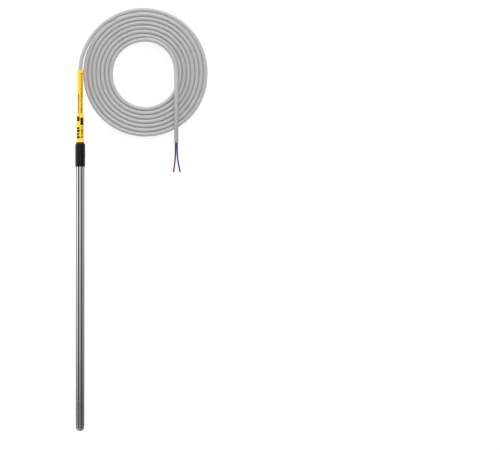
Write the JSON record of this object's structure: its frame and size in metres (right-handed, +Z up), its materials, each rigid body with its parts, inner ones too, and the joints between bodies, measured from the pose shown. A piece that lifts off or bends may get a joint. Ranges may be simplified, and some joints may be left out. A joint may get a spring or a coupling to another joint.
{
  "type": "rod soil probe sensor",
  "caption": "Soil probe sensor: closed steel rod with a round tip, black and yellow sleeves, and a coiled grey two-core cable with bare ends.",
  "frame": {"origin": "on the surface the probe lies on, under the middle of the rod and its sleeves", "axes": "+Y along the rod, from the round tip towards the cable; +Z up from the surface; the coil lies on the +X side"},
  "size_m": [0.0916, 0.2935, 0.007],
  "materials": {
    "stainless_tube": "drawn stainless tube with fine lengthwise lines",
    "stainless_tip": "turned and polished stainless steel",
    "weld_metal": "ground weld bead",
    "black_heat_shrink": "satin polyolefin heat-shrink",
    "hot_melt": "clear brown hot-melt adhesive",
    "yellow_marker": null,
    "grey_pvc": "smooth satin grey cable jacket",
    "brown_insulation": "smooth satin core insulation",
    "blue_insulation": "smooth satin core insulation",
    "copper": "bright stranded copper",
    "alumina": "white sintered alumina",
    "platinum": "thin platinum film",
    "element_glass": "glass passivation",
    "tinned_metal": "tinned metal",
    "insulator": "translucent white insulating tube",
    "paste": "white heat-conducting paste",
    "potting_resin": "black potting resin",
    "bush_rubber": "soft silicone rubber"
  },
  "bodies": {
    "root": {"probe_tube": "stainless_tube", "tip_plug": "stainless_tip", "tip_weld": "weld_metal", "element_substrate": "alumina", "element_track": "platinum", "element_cover": "element_glass", "element_bead": "element_glass", "element_leads": "platinum", "element_insulator": "insulator", "thermal_compound": "paste", "splice_ferrules": "tinned_metal", "splice_sleeves": "insulator", "inner_core_brown": "brown_insulation", "inner_core_blue": "blue_insulation", "inner_conductors": "copper", "potting_plug": "potting_resin", "sealing_bush": "bush_rubber", "cable_entry_jacket": "grey_pvc", "sleeve_adhesive": "hot_melt", "black_sleeve": "black_heat_shrink", "narrow_marker_sleeve": "yellow_marker", "wide_marker_sleeve": "yellow_marker", "cable_exit_run": "grey_pvc", "cable_coil": "grey_pvc", "cable_tail": "grey_pvc", "free_core_brown": "brown_insulation", "free_core_blue": "blue_insulation", "free_conductors": "copper"}
  },
  "joints": []
}
